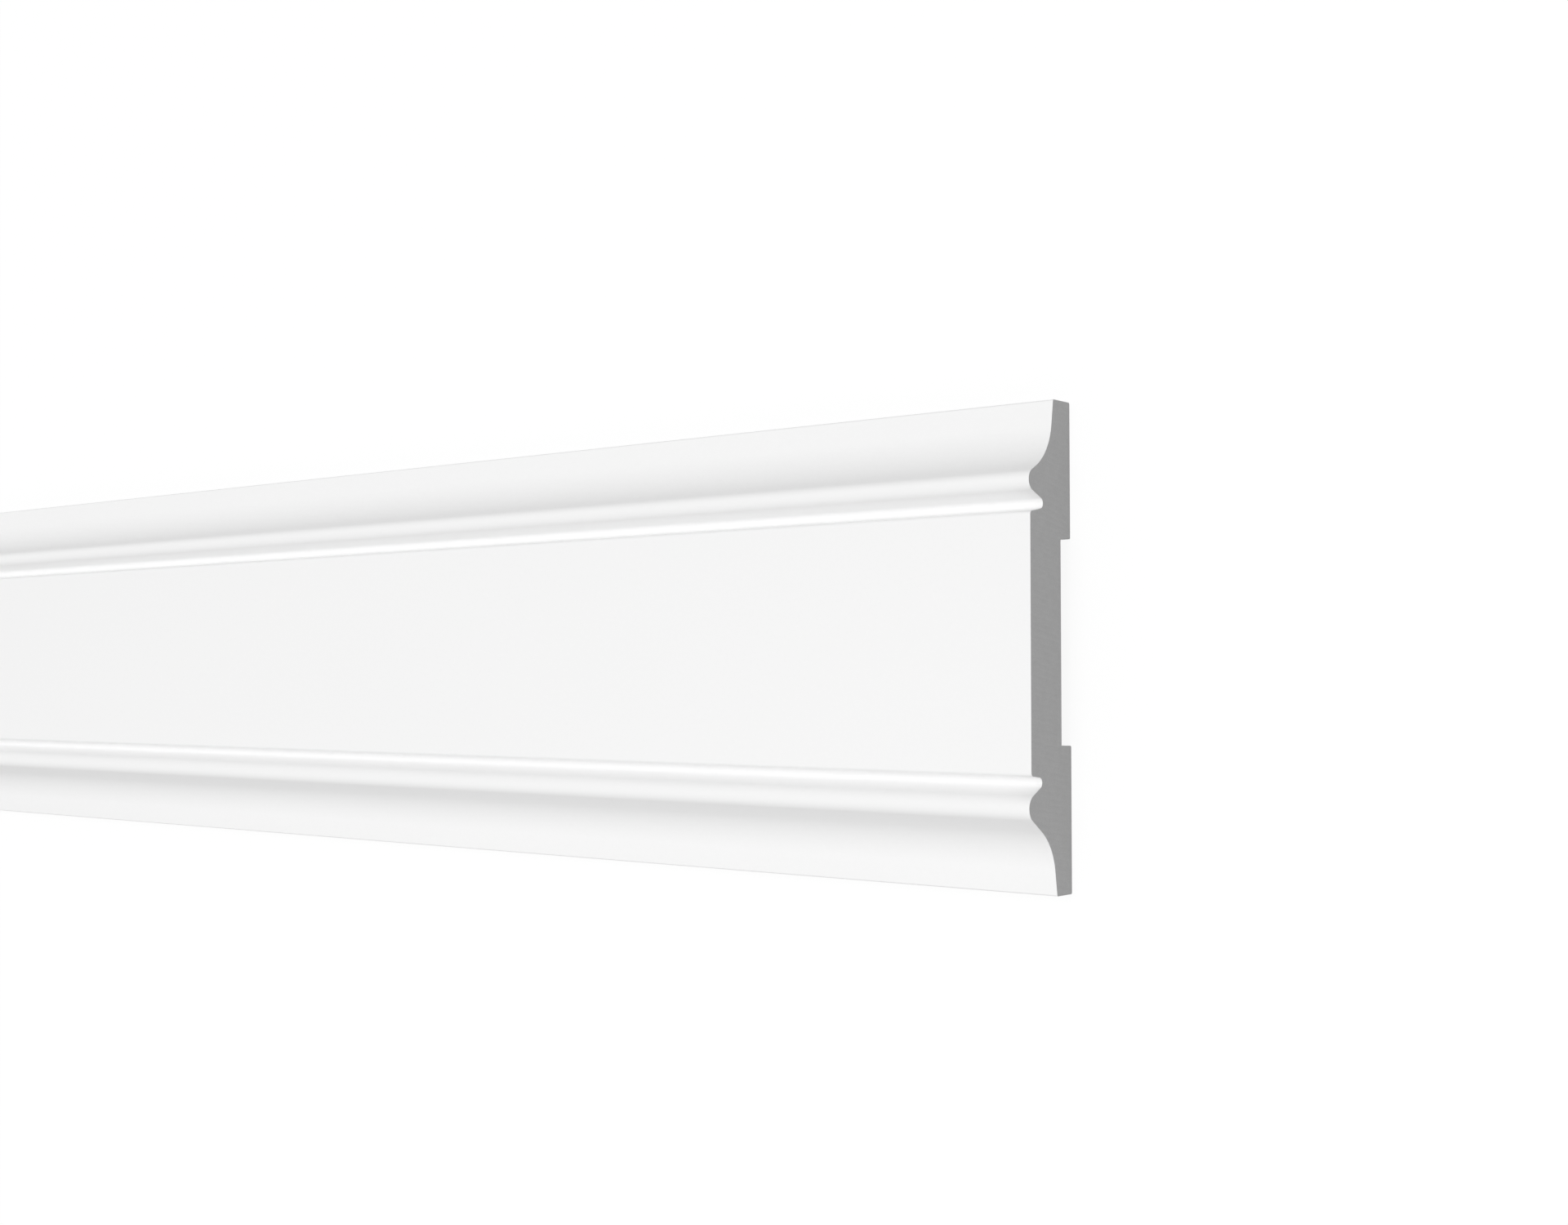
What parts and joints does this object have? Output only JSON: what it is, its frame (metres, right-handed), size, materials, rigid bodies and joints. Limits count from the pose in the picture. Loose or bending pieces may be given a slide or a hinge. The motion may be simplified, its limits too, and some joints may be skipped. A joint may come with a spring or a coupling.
{
  "type": "decorative wall moulding",
  "caption": "Straight length of white decorative wall moulding: flat field between two coved bands with a bead and quirk, recessed back with glue lands, cut square at both ends.",
  "frame": {"origin": "middle of the length and of the width, on the back plane that lies on the wall or the floor", "axes": "+X along the length, +Y up the wall towards the upper band's edge, +Z out of the wall, the way the show face looks"},
  "size_m": [2, 0.1, 0.0163],
  "materials": {
    "primed_polymer": "factory-primed smooth matt white on the faces, bare, fine-grained and greyer where the ends are sawn"
  },
  "bodies": {
    "root": {"moulding": "primed_polymer"}
  },
  "joints": []
}
